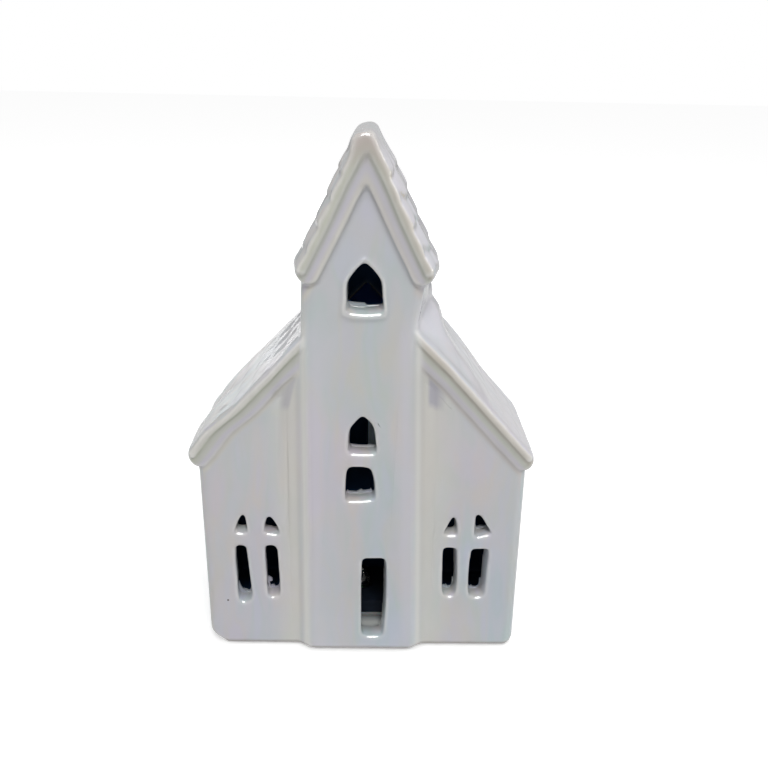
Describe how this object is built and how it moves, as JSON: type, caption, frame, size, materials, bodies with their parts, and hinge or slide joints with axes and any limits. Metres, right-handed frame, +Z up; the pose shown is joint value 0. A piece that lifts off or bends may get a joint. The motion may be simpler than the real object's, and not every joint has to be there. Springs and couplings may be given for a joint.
{
  "type": "light-up ceramic church",
  "caption": "Table ornament: hollow pearl-glazed ceramic church with cut-out windows, lit by a battery LED lamp that plugs into its floor.",
  "frame": {"origin": "middle of the base, on the surface it stands on", "axes": "+Z up, the door and the tower face -Y, +X to the right as seen from the front"},
  "size_m": [0.0942, 0.0458, 0.15],
  "materials": {
    "pearl_glaze": "glossy white glaze with a pearl lustre",
    "felt": "pressed felt",
    "black_plastic": "fine spark-eroded texture",
    "silicone": "translucent grey silicone, satin",
    "screw_steel": "bright zinc plated",
    "board_laminate": "green solder mask",
    "chip_body": "matt black with bright ends",
    "led_epoxy": "clear warm epoxy, glossy",
    "tinned_wire": "tinned",
    "switch_steel": "pressed sheet, satin",
    "contact_spring": "nickel-plated spring strip",
    "cell_steel": "nickel-plated can, satin"
  },
  "bodies": {
    "church": {"ceramic_house": "pearl_glaze", "foot_pad_front_left": "felt", "foot_pad_front_right": "felt", "foot_pad_rear_left": "felt", "foot_pad_rear_right": "felt"},
    "lamp": {"lamp_base": "black_plastic", "lamp_cap": "black_plastic", "silicone_sleeve": "silicone", "case_screw_front": "screw_steel", "case_screw_rear": "screw_steel", "circuit_board": "board_laminate", "resistor": "chip_body", "led_bulb": "led_epoxy", "led_anode_lead": "tinned_wire", "led_cathode_lead": "tinned_wire", "switch_case": "switch_steel", "plus_contact": "contact_spring", "minus_contact": "contact_spring", "coin_cell": "cell_steel"},
    "switch": {"switch_slider": "black_plastic"},
    "cell_door": {"battery_door": "black_plastic"},
    "door_screw": {"battery_door_screw": "screw_steel"}
  },
  "joints": [
    {"name": "lamp_slide", "type": "slide", "parent": "church", "child": "lamp", "axis": [0, 0, -1], "range_m": [0, 0.018]},
    {"name": "switch_slide", "type": "slide", "parent": "lamp", "child": "switch", "axis": [0, 1, 0], "range_m": [0, 0.002]},
    {"name": "cell_door_hinge", "type": "hinge", "parent": "lamp", "child": "cell_door", "pos_m": [-0.0129, 0.00175, 0.0012], "axis": [0, 1, 0], "range_deg": [0, 70]},
    {"name": "door_screw_slide", "type": "slide", "parent": "cell_door", "child": "door_screw", "axis": [0, 0, -1], "range_m": [0, 0.0028]}
  ]
}
